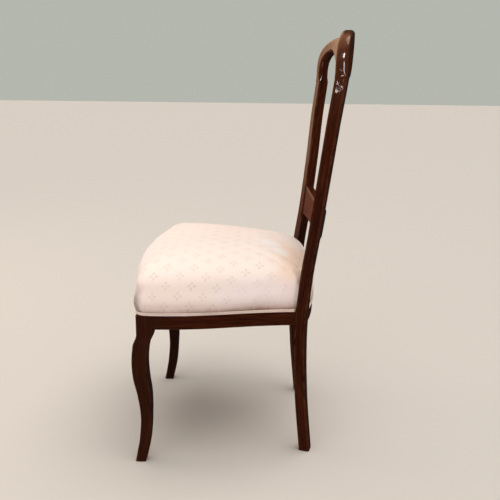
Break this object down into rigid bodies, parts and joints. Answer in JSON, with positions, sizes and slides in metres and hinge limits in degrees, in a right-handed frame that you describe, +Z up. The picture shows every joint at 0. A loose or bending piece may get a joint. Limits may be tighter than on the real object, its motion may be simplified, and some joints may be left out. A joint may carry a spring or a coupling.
{
  "type": "balloon back dining chair",
  "caption": "Dining chair with an arched open back, curved front legs and a domed upholstered seat over webbing.",
  "frame": {"origin": "on the floor, under the middle of the chair's bounding box", "axes": "+Z up, the sitter faces -Y, +X is at the sitter's left hand"},
  "size_m": [0.4674, 0.4628, 0.8929],
  "materials": {
    "show_wood": "french polished dark mahogany",
    "block_wood": "unpolished beech",
    "screw_steel": "plain steel",
    "webbing": "woven jute webbing",
    "base_cloth": "plain hessian",
    "stuffing": "stitched hair and wadding",
    "cover_fabric": "cream damask with a small woven diaper pattern, matt"
  },
  "bodies": {
    "root": {"front_leg_left": "show_wood", "front_leg_right": "show_wood", "back_post_left": "show_wood", "back_post_right": "show_wood", "crest_rail": "show_wood", "cross_rail": "show_wood", "front_seat_rail": "show_wood", "back_seat_rail": "show_wood", "side_seat_rail_left": "show_wood", "side_seat_rail_right": "show_wood", "front_corner_block_left": "block_wood", "front_corner_block_right": "block_wood", "rear_corner_block_left": "block_wood", "rear_corner_block_right": "block_wood", "front_block_screw_left_1": "screw_steel", "front_block_screw_left_2": "screw_steel", "front_block_screw_right_1": "screw_steel", "front_block_screw_right_2": "screw_steel", "rear_block_screw_left_1": "screw_steel", "rear_block_screw_left_2": "screw_steel", "rear_block_screw_right_1": "screw_steel", "rear_block_screw_right_2": "screw_steel", "crest_dowel_left": "block_wood", "crest_dowel_right": "block_wood", "webbing_long_1": "webbing", "webbing_long_2": "webbing", "webbing_long_3": "webbing", "webbing_cross_1": "webbing", "webbing_cross_2": "webbing", "webbing_cross_3": "webbing", "seat_base_cloth": "base_cloth", "seat_stuffing": "stuffing", "seat_cover": "cover_fabric", "seat_welt_front": "cover_fabric", "seat_welt_back": "cover_fabric"}
  },
  "joints": []
}
